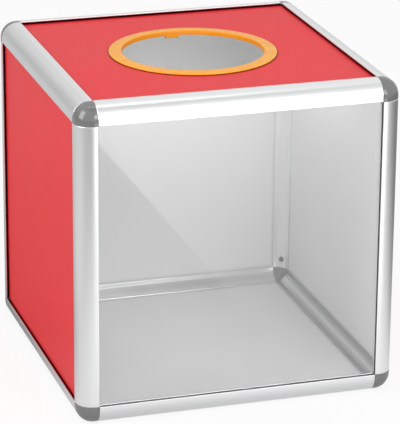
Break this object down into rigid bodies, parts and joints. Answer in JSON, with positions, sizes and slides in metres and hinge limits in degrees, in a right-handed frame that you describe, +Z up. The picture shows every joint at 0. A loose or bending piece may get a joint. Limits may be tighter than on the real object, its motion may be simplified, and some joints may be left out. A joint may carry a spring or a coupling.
{
  "type": "ballot box",
  "caption": "Cube-shaped ballot box: rounded aluminium edge rails, plastic corners, opaque boards, a clear front window and a ringed hand hole in the top.",
  "frame": {"origin": "middle of the underside, on the surface that the box stands on", "axes": "+Z up towards the hand hole, -Y out through the clear window, +X to the right of someone who looks in at the window"},
  "size_m": [0.3, 0.3, 0.3],
  "materials": {
    "rails": "satin",
    "corners": "gloss",
    "boards": "satin",
    "window": "polished",
    "ring": "gloss",
    "screws": "satin"
  },
  "bodies": {
    "root": {"back_left_corners": "corners", "back_left_post": "rails", "back_panel": "boards", "back_right_corners": "corners", "back_right_post": "rails", "bottom_back_rail": "rails", "bottom_front_rail": "rails", "bottom_left_rail": "rails", "bottom_right_rail": "rails", "corner_screws": "screws", "floor_panel": "boards", "front_left_corners": "corners", "front_left_post": "rails", "front_right_corners": "corners", "front_right_post": "rails", "front_window": "window", "hole_ring": "ring", "left_panel": "boards", "right_panel": "boards", "top_back_rail": "rails", "top_front_rail": "rails", "top_left_rail": "rails", "top_panel": "boards", "top_right_rail": "rails"}
  },
  "joints": []
}
